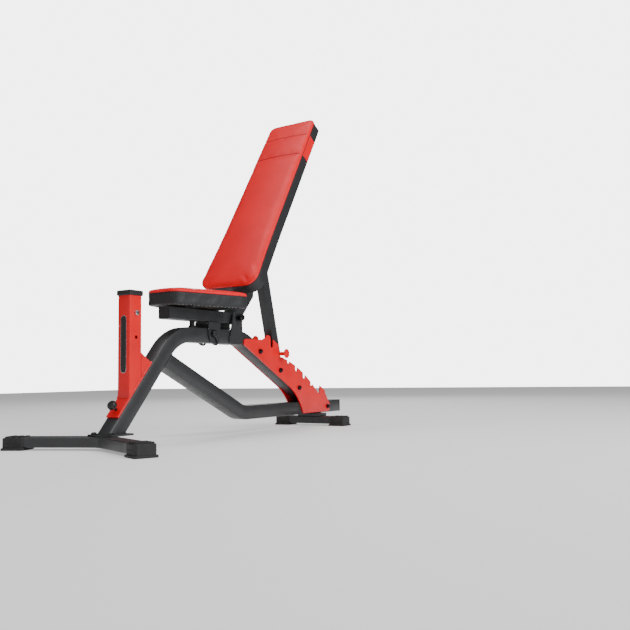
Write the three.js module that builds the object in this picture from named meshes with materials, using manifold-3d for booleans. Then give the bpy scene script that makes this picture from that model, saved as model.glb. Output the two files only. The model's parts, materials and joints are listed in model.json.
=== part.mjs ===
// Adjustable weight bench: a bent main tube on two cross feet, a tilting seat, a reclining back held by a
// strut whose cross rod drops into a notched plate pair, and a front post with a socket for accessories.
// Millimetres, +Z up, +Y from the seat towards the back of the bench, +X to the user's left.
import * as THREE from 'three';
import Module from 'manifold-3d';
import { mergeVertices } from 'three/addons/utils/BufferGeometryUtils.js';

const wasm = await Module();
wasm.setup();

// ---------------------------------------------------------------- driving dimensions
const GAP = 0.3; // between pieces that touch
const TUBE = 50; // square section of the main tube, the lower beam and the post
const WALL = 2.5;
const HALF = TUBE / 2;
const EDGE = 4; // rounded long edges of the square tubes

const LEG_ANGLE = 49.8; // degrees above the floor
const TOP_AXIS_Z = 343; // centre line of the level stretch of the main tube
const FRONT_CORNER_Y = 164;
const REAR_CORNER_Y = 514;
const SLOPE = 27.95; // fall of the rear stretch, degrees
const BEND = 154;

const BEAM_AXIS_Z = 75;
const BEAM_CORNER_Y = 512;
const BRACE_ANGLE = 25;
const BEAM_BEND = 110;
const BEAM_END_Y = 1195;

const FOOT = { width: 50, height: 30, bottom: 8 };
const FRONT_FOOT = { y: -115, sweep: 110, half: 265 };
const REAR_FOOT = { y: 1010, half: 150 };
const SHOE = { length: 66, width: 58, height: 40, lip: 5, lipHeight: 7, cover: 52 };

const PIVOT = new THREE.Vector2(472, 412); // common hinge line of seat and back, as y and z
const PLATE = 5; // ratchet and pivot plates
const BACK_ANGLE = 58; // rest position above the level
const BACK_ORIGIN = new THREE.Vector2(437, 525); // lower end of the back pad's face
const BACK_LENGTH = 852;
const BACK_TUBE = 40;
const PAD = 42;
const BOARD = 11.4;
const STRIP = 4;

const ROD_REST = new THREE.Vector2(737, 289); // strut rod in its notch at rest
const ROD_RADIUS = 7.5;
const STRUT = { width: 35, depth: 38, wall: 2, along: 205, behind: 118.5 };
const NOTCHES = 7; // the rod rests in the second, and the back is level in the last
const REST_NOTCH = 1;
const NOTCH_HALF = 8.3;

const SEAT = { front: 108, rear: 405, frontHalf: 72, rearHalf: 135, top: 484, board: 10 };
const SEAT_CORNER = { front: 40, rear: 28 };
const SEAT_TUBE = { width: 50, height: 40, top: 430, front: 127, rear: 420 };
const SEAT_TONGUE = 30; // width of the seat tube's end between the back's lugs
const SEAT_TILT = 12; // degrees of travel
const SEAT_CLAMP = new THREE.Vector2(335, 350);

const POST = { front: -44, top: 450 };
const COLLAR = { size: 58, height: 16, opening: 40, skirt: 28 };
const POST_PIN_Z = 398;
const POST_HOLE_Z = 325;

const deg = THREE.MathUtils.degToRad;

// ---------------------------------------------------------------- materials
const paint = new THREE.MeshStandardMaterial({ color: 0x34373a, roughness: 0.55, metalness: 0.35 });
const redPaint = new THREE.MeshStandardMaterial({ color: 0xd0141b, roughness: 0.4, metalness: 0.2 });
const redVinyl = new THREE.MeshStandardMaterial({ color: 0xe01c22, roughness: 0.5, metalness: 0 });
const plastic = new THREE.MeshStandardMaterial({ color: 0x17181a, roughness: 0.6, metalness: 0 });
const rubber = new THREE.MeshStandardMaterial({ color: 0x1d1e20, roughness: 0.85, metalness: 0 });
const blackSteel = new THREE.MeshStandardMaterial({ color: 0x1a1b1d, roughness: 0.4, metalness: 0.7 });
const zinc = new THREE.MeshStandardMaterial({ color: 0xc4c7cb, roughness: 0.3, metalness: 0.9 });
const plywood = new THREE.MeshStandardMaterial({ color: 0x8a6a45, roughness: 0.8, metalness: 0 });

// ---------------------------------------------------------------- solids
function solid(geometry) {
  geometry.deleteAttribute('normal');
  geometry.deleteAttribute('uv');
  const merged = mergeVertices(geometry, 1e-3);
  const mesh = new wasm.Mesh({
    numProp: 3,
    vertProperties: new Float32Array(merged.attributes.position.array),
    triVerts: new Uint32Array(merged.index.array),
  });
  return new wasm.Manifold(mesh);
}

function geometryOf(manifold) {
  const mesh = manifold.getMesh();
  const geometry = new THREE.BufferGeometry();
  geometry.setAttribute('position', new THREE.BufferAttribute(mesh.vertProperties, 3));
  geometry.setIndex(new THREE.BufferAttribute(mesh.triVerts, 1));
  geometry.computeVertexNormals();
  return geometry;
}

function cut(base, ...tools) {
  return tools.reduce((rest, tool) => rest.subtract(tool), base);
}

function join(base, ...others) {
  return others.reduce((sum, other) => sum.add(other), base);
}

const SIDE_VIEW = new THREE.Matrix4().makeBasis(
  new THREE.Vector3(0, 1, 0), new THREE.Vector3(0, 0, 1), new THREE.Vector3(1, 0, 0));

// A flat outline raised by depth along its normal, with optional rounded rims inside the same size.
function raise(shape, depth, rim = 0, segments = 4) {
  return new THREE.ExtrudeGeometry(shape, {
    depth: depth - 2 * rim,
    bevelEnabled: rim > 0,
    bevelThickness: rim,
    bevelSize: rim,
    bevelOffset: -rim,
    bevelSegments: rim > 2.9 ? 2 : 1,
    curveSegments: segments,
  }).translate(0, 0, rim);
}

// An outline in the side view (y, z) that spans x = low to high.
function sideSlab(shape, low, high, rim = 0, segments = 4) {
  return solid(raise(shape, high - low, rim, segments).applyMatrix4(SIDE_VIEW).translate(low, 0, 0));
}

// An outline in the plan view (x, y) that spans z = low to high.
function planSlab(shape, low, high, rim = 0, segments = 3) {
  return solid(raise(shape, high - low, rim, segments).translate(0, 0, low));
}

function block(low, high) {
  const size = high.map((value, axis) => value - low[axis]);
  const middle = high.map((value, axis) => (value + low[axis]) / 2);
  return solid(new THREE.BoxGeometry(...size).translate(...middle));
}

function rodBetween(radius, start, end, segments = 16) {
  const a = new THREE.Vector3(...start);
  const b = new THREE.Vector3(...end);
  const geometry = new THREE.CylinderGeometry(radius, radius, a.distanceTo(b), segments);
  const turn = new THREE.Quaternion().setFromUnitVectors(
    new THREE.Vector3(0, 1, 0), b.clone().sub(a).normalize());
  const middle = a.clone().add(b).multiplyScalar(0.5);
  return solid(geometry.applyQuaternion(turn).translate(middle.x, middle.y, middle.z));
}

function crossRod(radius, xLow, xHigh, at, segments = 16) {
  return rodBetween(radius, [xLow, at.x, at.y], [xHigh, at.x, at.y], segments);
}

// A revolved profile of [radius, height] pairs, standing on start and pointing at end.
function turned(profile, start, end, segments = 16) {
  const points = profile.map(([radius, height]) => new THREE.Vector2(radius, height));
  const a = new THREE.Vector3(...start);
  const turn = new THREE.Quaternion().setFromUnitVectors(
    new THREE.Vector3(0, 1, 0), new THREE.Vector3(...end).sub(a).normalize());
  const geometry = new THREE.LatheGeometry(points, segments);
  return solid(geometry.applyQuaternion(turn).translate(a.x, a.y, a.z));
}

function roundedRect(width, height, radius) {
  const shape = new THREE.Shape();
  const x = width / 2 - radius;
  const y = height / 2 - radius;
  shape.absarc(x, y, radius, 0, Math.PI / 2);
  shape.absarc(-x, y, radius, Math.PI / 2, Math.PI);
  shape.absarc(-x, -y, radius, Math.PI, 1.5 * Math.PI);
  shape.absarc(x, -y, radius, 1.5 * Math.PI, 2 * Math.PI);
  return shape;
}

// The outline of a strip of the given width that follows a bent centre line.
// path: points as Vector2, bend: centre line radius at every inner point, extra: added at both ends.
function strip(path, width, bend, extra = 0) {
  const points = path.map((point) => point.clone());
  const last = points.length - 1;
  const heading = (i) => points[i + 1].clone().sub(points[i]).normalize();
  points[0].addScaledVector(heading(0), -extra);
  points[last].addScaledVector(heading(last - 1), extra);
  const left = (direction) => new THREE.Vector2(-direction.y, direction.x);
  const shape = new THREE.Shape();
  const walk = (offset, forwards) => {
    const corners = [...Array(last - 1).keys()].map((i) => i + 1);
    if (!forwards) corners.reverse();
    for (const i of corners) {
      const into = heading(i - 1);
      const out = heading(i);
      const turn = Math.atan2(into.cross(out), into.dot(out));
      const side = Math.sign(turn);
      const reach = bend * Math.tan(Math.abs(turn) / 2);
      const first = points[i].clone().addScaledVector(into, -reach);
      const centre = first.clone().addScaledVector(left(into), side * bend);
      const radius = bend - side * offset;
      const from = left(into).multiplyScalar(-side).angle();
      const to = left(out).multiplyScalar(-side).angle();
      if (forwards) shape.absarc(centre.x, centre.y, radius, from, to, turn < 0);
      else shape.absarc(centre.x, centre.y, radius, to, from, turn > 0);
    }
  };
  const startSide = points[0].clone().addScaledVector(left(heading(0)), width / 2);
  const endSide = points[last].clone().addScaledVector(left(heading(last - 1)), width / 2);
  const endOther = points[last].clone().addScaledVector(left(heading(last - 1)), -width / 2);
  const startOther = points[0].clone().addScaledVector(left(heading(0)), -width / 2);
  shape.moveTo(startOther.x, startOther.y);
  shape.lineTo(startSide.x, startSide.y);
  walk(width / 2, true);
  shape.lineTo(endSide.x, endSide.y);
  shape.lineTo(endOther.x, endOther.y);
  walk(-width / 2, false);
  shape.closePath();
  return shape;
}

// The convex outline around circles given as [first, second, radius], listed counter-clockwise.
function around(circles) {
  const shape = new THREE.Shape();
  circles.forEach(([x, y, radius], i) => {
    const before = circles.at(i - 1);
    const after = circles[(i + 1) % circles.length];
    const tangent = (from, to) => {
      const gap = new THREE.Vector2(to[0] - from[0], to[1] - from[1]);
      return gap.angle() - Math.PI / 2 + Math.asin((to[2] - from[2]) / gap.length()) * -1;
    };
    shape.absarc(x, y, radius, tangent(before, circles[i]), tangent(circles[i], after));
  });
  return shape;
}

const bench = new THREE.Group();

function add(name, shape, material, parent = bench) {
  const mesh = new THREE.Mesh(geometryOf(shape), material);
  mesh.name = name;
  parent.add(mesh);
  return mesh;
}

const BOLT = 5;
const BOLT_HOLE = 5.3;

// A cap screw across the bench: domed head on the +X side, nut on the other, as one fastener.
function crossBolt(at, reach, headRadius = 9) {
  const dome = [[0, -3], [headRadius, -3], [headRadius, 2], [headRadius * 0.72, 6], [0, 7.5]];
  return join(
    crossRod(BOLT, -reach - 12, reach + 4, at),
    turned(dome, [reach + 3 + GAP, at.x, at.y], [reach + 20, at.x, at.y]),
    crossRod(headRadius, -reach - 8 - GAP, -reach - GAP, at, 6));
}

// A short bolt head pressed on a face, with its shank running into the work.
function stud(start, direction, shank, headRadius = 8) {
  const unit = new THREE.Vector3(...direction).normalize();
  const at = new THREE.Vector3(...start);
  const end = at.clone().addScaledVector(unit, 1).toArray();
  const profile = [[0, -shank], [BOLT - 1, -shank], [BOLT - 1, GAP], [headRadius, GAP],
    [headRadius, 3.5], [headRadius * 0.7, 6], [0, 7]];
  return turned(profile, start, end);
}

// ---------------------------------------------------------------- main tube and lower beam
const uphill = new THREE.Vector2(Math.cos(deg(LEG_ANGLE)), Math.sin(deg(LEG_ANGLE)));
const downhill = new THREE.Vector2(Math.cos(deg(SLOPE)), -Math.sin(deg(SLOPE)));
const slopeUp = new THREE.Vector2(-downhill.y, downhill.x);
const frontCorner = new THREE.Vector2(FRONT_CORNER_Y, TOP_AXIS_Z);
const rearCorner = new THREE.Vector2(REAR_CORNER_Y, TOP_AXIS_Z);
const legFoot = frontCorner.clone().addScaledVector(uphill, -430);
const slopeFoot = rearCorner.clone().addScaledVector(downhill, 560);
const mainPath = [legFoot, frontCorner, rearCorner, slopeFoot];

const FOOT_TOP = FOOT.bottom + FOOT.height;
const FOOT_PLATE_TOP = FOOT_TOP + GAP + 5;
const BEAM_TOP = BEAM_AXIS_Z + HALF;
const BEAM_BOTTOM = BEAM_AXIS_Z - HALF;

// Bolts through the ratchet plates and the sloping stretch, and the one through the beam's tail.
const slopeBolts = [102, 250, 398].map((along) => rearCorner.clone().addScaledVector(downhill, along));
const tailBolt = new THREE.Vector2(1085, BEAM_AXIS_Z);

const mainTube = cut(
  sideSlab(strip(mainPath, TUBE, BEND), -HALF, HALF, EDGE, 7),
  sideSlab(strip(mainPath, TUBE - 2 * WALL, BEND, 20), -HALF + WALL, HALF - WALL, 0, 7),
  block([-60, -400, -100], [60, 300, FOOT_PLATE_TOP + GAP]),
  block([-60, 700, -100], [60, 1300, BEAM_TOP + GAP]),
  ...slopeBolts.map((at) => crossRod(BOLT_HOLE, -40, 40, at)),
  crossRod(BOLT_HOLE, -40, 40, SEAT_CLAMP));
add('main_tube', mainTube, paint);

const falling = new THREE.Vector2(Math.cos(deg(BRACE_ANGLE)), -Math.sin(deg(BRACE_ANGLE)));
const beamCorner = new THREE.Vector2(BEAM_CORNER_Y, BEAM_AXIS_Z);
const braceTop = beamCorner.clone().addScaledVector(falling, -500);
const beamPath = [braceTop, beamCorner, new THREE.Vector2(BEAM_END_Y, BEAM_AXIS_Z)];
const LEG_CLEAR = 160; // stock removed behind the leg, so that the brace ends on its rear face
const legTop = frontCorner.clone().addScaledVector(uphill, 60);
const legShadow = strip([legFoot, legTop], TUBE + 2 * GAP + LEG_CLEAR, BEND);
const beam = cut(
  sideSlab(strip(beamPath, TUBE, BEAM_BEND), -HALF, HALF, EDGE, 5),
  sideSlab(strip(beamPath, TUBE - 2 * WALL, BEAM_BEND, 20), -HALF + WALL, HALF - WALL, 0, 5),
  sideSlab(legShadow, -60, 60).translate([0, -LEG_CLEAR / 2 * uphill.y, LEG_CLEAR / 2 * uphill.x]),
  crossRod(BOLT_HOLE, -40, 40, tailBolt));
add('lower_beam', beam, paint);

const endCap = join(
  block([-HALF, BEAM_END_Y + GAP, BEAM_BOTTOM], [HALF, BEAM_END_Y + 4, BEAM_TOP]),
  block([-HALF + WALL + GAP, BEAM_END_Y - 18, BEAM_BOTTOM + WALL + GAP],
    [HALF - WALL - GAP, BEAM_END_Y + 1, BEAM_TOP - WALL - GAP]));
add('beam_end_cap', endCap, plastic);

// ---------------------------------------------------------------- feet
function footBar(path, bend) {
  const low = FOOT.bottom;
  return cut(
    planSlab(strip(path, FOOT.width, bend), low, low + FOOT.height, 2.5),
    planSlab(strip(path, FOOT.width - 4, bend, 20), low + 2, low + FOOT.height - 2));
}

const frontTips = [-1, 1].map((side) => new THREE.Vector2(side * FRONT_FOOT.half,
  FRONT_FOOT.y - FRONT_FOOT.sweep));
const frontMiddle = new THREE.Vector2(0, FRONT_FOOT.y);
const rearTips = [-1, 1].map((side) => new THREE.Vector2(side * REAR_FOOT.half, REAR_FOOT.y));
const rearMiddle = new THREE.Vector2(0, REAR_FOOT.y);

const footHole = (x, y) => rodBetween(BOLT_HOLE - 1, [x, y, 20], [x, y, 80]);
const plateBolts = [-1, 1].map((side) => [side * 34, FRONT_FOOT.y - 8]);
add('front_foot_bar', cut(footBar([frontTips[0], frontMiddle, frontTips[1]], 90),
  ...plateBolts.map(([x, y]) => footHole(x, y))), paint);
add('rear_foot_bar', footBar([rearTips[0], rearTips[1]], 90), paint);

// A ribbed rubber shoe pushed over the end of a foot bar, its closed end outwards along +X.
function shoe() {
  const { length, width, height, lip, lipHeight, cover } = SHOE;
  const body = planSlab(roundedRect(length, width, 6), 0, height - 4, 2, 2);
  const base = planSlab(roundedRect(length + lip, width + 2 * lip, 6), 0, lipHeight, 1.5, 2);
  const ribs = [-20, 0, 20].map((x) => planSlab(
    roundedRect(11, width - 6, 3), height - 8, height, 0, 1).translate([x, 0, 0]));
  const sideRib = (y) => block([-length / 2 + 6, y - 1.8, 16], [length / 2 - 6, y + 1.8, 20]);
  const sides = [-1, 1].map((side) => sideRib(side * (width / 2 - 1)));
  const pocket = block([-length / 2 - 10, -FOOT.width / 2 - GAP, FOOT.bottom - GAP],
    [-length / 2 + cover + GAP, FOOT.width / 2 + GAP, FOOT_TOP + GAP]);
  return cut(join(body, base, ...ribs, ...sides), pocket);
}

function addShoe(name, tip, inner) {
  const outward = tip.clone().sub(inner).normalize();
  const centre = tip.clone().addScaledVector(outward, SHOE.length / 2 - SHOE.cover);
  const mesh = add(name, shoe(), rubber);
  mesh.position.set(centre.x, centre.y, 0);
  mesh.rotation.z = outward.angle();
}

addShoe('front_shoe_right', frontTips[0], frontMiddle);
addShoe('front_shoe_left', frontTips[1], frontMiddle);
addShoe('rear_shoe_right', rearTips[0], rearMiddle);
addShoe('rear_shoe_left', rearTips[1], rearMiddle);

const plateOutline = roundedRect(100, 92, 8);
const frontPlate = planSlab(plateOutline, FOOT_TOP + GAP, FOOT_PLATE_TOP)
  .translate([0, FRONT_FOOT.y + 24, 0]);
add('front_foot_plate', cut(frontPlate, ...plateBolts.map(([x, y]) => footHole(x, y))), paint);
const rearMount = planSlab(roundedRect(110, 56, 6), FOOT_TOP + GAP, BEAM_BOTTOM - GAP, 1)
  .translate([0, REAR_FOOT.y, 0]);
add('rear_foot_mount', rearMount, paint);
plateBolts.forEach(([x, y], i) => add(`front_foot_bolt_${i + 1}`,
  stud([x, y, FOOT_PLATE_TOP], [0, 0, 1], 14), blackSteel));

// ---------------------------------------------------------------- back linkage
const along = new THREE.Vector2(Math.cos(deg(BACK_ANGLE)), Math.sin(deg(BACK_ANGLE)));
const behind = new THREE.Vector2(along.y, -along.x);
const backPoint = (t, o) => BACK_ORIGIN.clone().addScaledVector(along, t).addScaledVector(behind, o);
const strutPivot = backPoint(STRUT.along, STRUT.behind);
const strutLength = strutPivot.distanceTo(ROD_REST);

// With the back level, the rod lies where the line of notches meets the strut's reach.
const levelPivot = strutPivot.clone().rotateAround(PIVOT, -deg(BACK_ANGLE));
const toRest = ROD_REST.clone().sub(levelPivot);
const shift = toRest.dot(downhill);
const travel = -shift + Math.sqrt(shift * shift - toRest.lengthSq() + strutLength * strutLength);
const rodLevel = ROD_REST.clone().addScaledVector(downhill, travel);
const notchPitch = travel / (NOTCHES - 1 - REST_NOTCH);

// The strut turns in step with the back, so the rod's path is nearly an arc over the teeth.
const swing = rodLevel.clone().sub(levelPivot).angle() - ROD_REST.clone().sub(strutPivot).angle()
  + deg(BACK_ANGLE);
export const linkage = {
  pivot: PIVOT, strutPivot, swingDegrees: THREE.MathUtils.radToDeg(swing), ratio: -swing / deg(BACK_ANGLE),
};
function rodAt(share) {
  const recline = -share * deg(BACK_ANGLE);
  const top = strutPivot.clone().rotateAround(PIVOT, recline);
  const reach = ROD_REST.clone().sub(strutPivot).rotateAround(new THREE.Vector2(), recline + share * swing);
  return top.add(reach);
}

function circleThrough(a, b, c) {
  const ab = b.clone().sub(a);
  const ac = c.clone().sub(a);
  const twice = 2 * ab.cross(ac);
  const centre = new THREE.Vector2(
    (ac.y * ab.lengthSq() - ab.y * ac.lengthSq()) / twice,
    (ab.x * ac.lengthSq() - ac.x * ab.lengthSq()) / twice);
  return { centre: centre.clone().add(a), radius: centre.length() };
}

const rodPath = circleThrough(rodAt(0), rodAt(0.5), rodAt(1));
const RELIEF = ROD_RADIUS + 3;

// ---------------------------------------------------------------- ratchet plates
const PLATE_IN = HALF + GAP;
const PLATE_OUT = PLATE_IN + PLATE;
const TOOTH = 24; // tooth tips above the line of notches
const toothLine = (s) => ROD_REST.clone().addScaledVector(downhill, s).addScaledVector(slopeUp, TOOTH);
const underSlope = (s, drop = HALF) => rearCorner.clone()
  .addScaledVector(downhill, s)
  .addScaledVector(slopeUp, -drop);

function ratchetOutline() {
  const shape = new THREE.Shape();
  const nose = underSlope(14, HALF - 13);
  const firstTip = toothLine(-notchPitch * 1.62);
  const lastTip = toothLine(travel + 34);
  const lobe = tailBolt;
  shape.absarc(nose.x, nose.y, 13, Math.PI / 2, Math.PI / 2 + Math.PI - deg(SLOPE));
  const heel = underSlope(330);
  shape.lineTo(heel.x, heel.y);
  shape.quadraticCurveTo(heel.x + 70, heel.y - 38, heel.x + 104, lobe.y - 21);
  shape.absarc(lobe.x, lobe.y, 21, 1.5 * Math.PI, 2 * Math.PI + deg(52));
  shape.lineTo(lastTip.x + 8, lastTip.y - 14);
  shape.quadraticCurveTo(lastTip.x + 6, lastTip.y, lastTip.x - 8, lastTip.y + 4);
  shape.lineTo(firstTip.x + 6, firstTip.y - 3);
  shape.quadraticCurveTo(firstTip.x - 6, firstTip.y + 3, firstTip.x - 14, firstTip.y - 8);
  shape.quadraticCurveTo(firstTip.x - 26, nose.y + 13, firstTip.x - 52, nose.y + 13);
  shape.closePath();
  return shape;
}

function notch(index) {
  const at = ROD_REST.clone().addScaledVector(downhill, (index - REST_NOTCH) * notchPitch);
  const shape = new THREE.Shape();
  shape.absarc(at.x, at.y, NOTCH_HALF, Math.PI, 2 * Math.PI);
  shape.lineTo(at.x + NOTCH_HALF + 1, at.y + 24);
  shape.quadraticCurveTo(at.x + NOTCH_HALF + 2, at.y + 60, at.x + NOTCH_HALF + 6, at.y + 70);
  shape.lineTo(at.x - NOTCH_HALF - 6, at.y + 70);
  shape.lineTo(at.x - NOTCH_HALF, at.y + 20);
  shape.closePath();
  return sideSlab(shape, -60, 60);
}

// Room for the rod to pass over the teeth between its rest notch and the level one.
const overPath = cut(
  block([-60, ROD_REST.x, 60], [60, rodLevel.x, 420]),
  crossRod(rodPath.radius - RELIEF, -70, 70, rodPath.centre, 160));
const notches = [...Array(NOTCHES).keys()].map(notch);
const ratchet = (low, high) => cut(
  sideSlab(ratchetOutline(), low, high, 0, 8),
  ...notches,
  overPath,
  ...[...slopeBolts, tailBolt].map((at) => crossRod(BOLT_HOLE, -60, 60, at)));
add('ratchet_plate_left', ratchet(PLATE_IN, PLATE_OUT), redPaint);
add('ratchet_plate_right', ratchet(-PLATE_OUT, -PLATE_IN), redPaint);
[...slopeBolts, tailBolt].forEach((at, i) => {
  add(`ratchet_bolt_${i + 1}`, crossBolt(at, PLATE_OUT), blackSteel);
});

// ---------------------------------------------------------------- pivot plates
const pivotOutline = around([[PIVOT.x, PIVOT.y, 25], [438, 331, 12], [488, 331, 12]]);
const pivotPlate = (low, high) => cut(
  sideSlab(pivotOutline, low, high), crossRod(BOLT_HOLE + 1, -60, 60, PIVOT));
add('pivot_plate_left', pivotPlate(PLATE_IN, PLATE_OUT), paint);
add('pivot_plate_right', pivotPlate(-PLATE_OUT, -PLATE_IN), paint);
const pivotHead = [[0, -3], [12, -3], [12, 0], [9, 1], [9, 4], [12, 5], [12, 17], [9, 21], [0, 22.5]];
const pivotBolt = join(crossRod(BOLT + 1, -PLATE_OUT - 14, PLATE_OUT + 4, PIVOT),
  turned(pivotHead, [PLATE_OUT + 3 + GAP, PIVOT.x, PIVOT.y], [PLATE_OUT + 30, PIVOT.x, PIVOT.y]),
  crossRod(11, -PLATE_OUT - 10, -PLATE_OUT - GAP, PIVOT, 6));
add('pivot_bolt', pivotBolt, blackSteel);

// ---------------------------------------------------------------- accessory post
const slopeFace = (y) => frontCorner.y + (y - frontCorner.x) * Math.tan(deg(LEG_ANGLE)) + HALF / uphill.x;
const faceUp = new THREE.Vector2(-uphill.y, uphill.x);
const facePoint = (y, lift) => new THREE.Vector2(y, slopeFace(y)).addScaledVector(faceUp, lift);
const FLANGE = 5;
const flangePath = [facePoint(-84, GAP + FLANGE / 2), facePoint(52, GAP + FLANGE / 2)];
const aboveFlange = (lift) => {
  const shape = new THREE.Shape();
  const low = facePoint(-300, lift);
  const high = facePoint(400, lift);
  shape.moveTo(low.x, low.y);
  shape.lineTo(high.x, high.y);
  shape.lineTo(high.x + 600, low.y);
  shape.closePath();
  return shape;
};
const underPost = sideSlab(aboveFlange(2 * GAP + FLANGE), -100, 100);
const ringShape = roundedRect(TUBE, TUBE, EDGE);
const holeShape = roundedRect(TUBE - 2 * WALL, TUBE - 2 * WALL, 2);
const postMiddle = POST.front + HALF;
const postPin = new THREE.Vector2(postMiddle + 2, POST_PIN_Z);
const postHole = new THREE.Vector2(postMiddle + 2, POST_HOLE_Z);
const PIN_RADIUS = 5;
const post = cut(
  planSlab(ringShape, 60, POST.top, 0, 4).translate([0, postMiddle, 0]),
  planSlab(holeShape, 50, POST.top + 10, 0, 3).translate([0, postMiddle, 0]),
  underPost,
  crossRod(PIN_RADIUS + 0.3, -40, 40, postPin),
  crossRod(PIN_RADIUS + 0.3, -40, 40, postHole));
add('post_tube', post, redPaint);

const clampAt = facePoint(-67, GAP + FLANGE);
const clampBolt = facePoint(34, GAP + FLANGE);
const intoFace = (at, radius) => {
  const a = at.clone().addScaledVector(faceUp, 12);
  const b = at.clone().addScaledVector(faceUp, -40);
  return rodBetween(radius, [0, a.x, a.y], [0, b.x, b.y]);
};
const flangeOutline = strip(flangePath, FLANGE, 1);
add('post_flange', cut(sideSlab(flangeOutline, -HALF, HALF, 1),
  intoFace(clampAt, BOLT), intoFace(clampBolt, BOLT)), redPaint);

const gussetOutline = () => {
  const shape = new THREE.Shape();
  const foot = facePoint(postMiddle + HALF + GAP, 2 * GAP + FLANGE);
  const tip = facePoint(50, 2 * GAP + FLANGE);
  shape.moveTo(foot.x + 4, foot.y + 4 * Math.tan(deg(LEG_ANGLE)));
  shape.lineTo(tip.x, tip.y);
  shape.lineTo(postMiddle + HALF + GAP, tip.y + 28);
  shape.lineTo(postMiddle + HALF + GAP, foot.y + 8);
  shape.closePath();
  return shape;
};
add('post_gusset_left', sideSlab(gussetOutline(), HALF - 5, HALF - 1), redPaint);
add('post_gusset_right', sideSlab(gussetOutline(), 1 - HALF, 5 - HALF), redPaint);

const collar = cut(
  join(
    planSlab(roundedRect(COLLAR.size, COLLAR.size, 6), POST.top + GAP, POST.top + COLLAR.height, 2, 4),
    planSlab(roundedRect(TUBE - 2 * WALL - 0.6, TUBE - 2 * WALL - 0.6, 2), POST.top - COLLAR.skirt,
      POST.top + 4, 0, 3)),
  planSlab(roundedRect(COLLAR.opening, COLLAR.opening, 2), POST.top - 60, POST.top + 60, 0, 3))
  .translate([0, postMiddle, 0]);
add('post_collar', collar, plastic);

const pinHead = [[0, 0], [8, 0], [8, 5], [6, 7], [0, 7]];
const lockPin = join(
  crossRod(PIN_RADIUS, -HALF - 3, HALF + 4, postPin),
  turned(pinHead, [HALF + GAP, postPin.x, postPin.y], [HALF + 9, postPin.x, postPin.y]));
add('post_lock_pin', lockPin, zinc);

// The clamp knob: a steel stem in the flange and a fluted grip standing clear of the slope.
function knob(base, direction, stemIn, stemOut, radius, height) {
  const unit = new THREE.Vector3(...direction).normalize();
  const at = new THREE.Vector3(...base);
  const point = (reach) => at.clone().addScaledVector(unit, reach).toArray();
  const grip = [[0, 0], [radius * 0.7, 0], [radius, 3], [radius, height - 4],
    [radius * 0.8, height], [0, height]];
  const flutes = [...Array(6).keys()].map((i) => {
    const side = new THREE.Vector3(0, unit.z, -unit.y);
    if (side.lengthSq() < 0.01) side.set(0, 1, 0);
    side.normalize().applyAxisAngle(unit, (i * Math.PI) / 3).multiplyScalar(radius * 1.28);
    const low = new THREE.Vector3(...point(stemOut - 1)).add(side);
    const high = new THREE.Vector3(...point(stemOut + height + 1)).add(side);
    return rodBetween(radius * 0.42, low.toArray(), high.toArray(), 12);
  });
  return join(
    rodBetween(BOLT - 1, point(-stemIn), point(stemOut + 2), 16),
    cut(turned(grip, point(stemOut), point(stemOut + 1), 24), ...flutes));
}
add('post_clamp_knob', knob([0, clampAt.x, clampAt.y], [0, faceUp.x, faceUp.y], 4, 12, 14, 17), plastic);
add('post_flange_bolt', stud([0, clampBolt.x, clampBolt.y], [0, faceUp.x, faceUp.y], 4, 8), blackSteel);

// ---------------------------------------------------------------- seat
const seatStripBottom = SEAT_TUBE.top + GAP;
const seatBoardBottom = seatStripBottom + STRIP + GAP;
const seatPadBottom = seatBoardBottom + SEAT.board + GAP;
const seatRearEnd = PIVOT.x + 16;

// The seat tube narrows to a tongue that turns on the pivot bolt; both are open at their outer ends.
const seatTubeLow = SEAT_TUBE.top - SEAT_TUBE.height;
function seatTubeSlab(from, to, width) {
  const shape = new THREE.Shape();
  shape.moveTo(from, SEAT_TUBE.top);
  shape.lineTo(from, seatTubeLow);
  shape.lineTo(to, seatTubeLow);
  shape.lineTo(to, SEAT_TUBE.top);
  shape.closePath();
  return sideSlab(shape, -width / 2, width / 2, 2.5);
}
const seatTubeHollow = (from, to, width) => block(
  [-width / 2 + 2, from, seatTubeLow + 2], [width / 2 - 2, to, SEAT_TUBE.top - 2]);
const seatTube = cut(
  join(
    seatTubeSlab(SEAT_TUBE.front, SEAT_TUBE.rear, SEAT_TUBE.width),
    seatTubeSlab(SEAT_TUBE.rear - 10, seatRearEnd, SEAT_TONGUE)),
  seatTubeHollow(SEAT_TUBE.front - 10, SEAT_TUBE.rear - 13, SEAT_TUBE.width),
  seatTubeHollow(SEAT_TUBE.rear + 3, seatRearEnd + 10, SEAT_TONGUE),
  crossRod(BOLT + 1.3, -40, 40, PIVOT));
add('seat_tube', seatTube, paint);
const plugBack = SEAT_TUBE.front + 14;
add('seat_tube_plug', block(
  [-SEAT_TUBE.width / 2 + 2 + GAP, SEAT_TUBE.front + 1, seatTubeLow + 2 + GAP],
  [SEAT_TUBE.width / 2 - 2 - GAP, plugBack, SEAT_TUBE.top - 2 - GAP]), plastic);

[[215, 120], [358, 180]].forEach(([y, width], i) => {
  const bar = planSlab(roundedRect(width, 34, 8), seatStripBottom, seatStripBottom + STRIP);
  add(`seat_cross_strip_${i + 1}`, bar.translate([0, y, 0]), paint);
});

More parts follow.
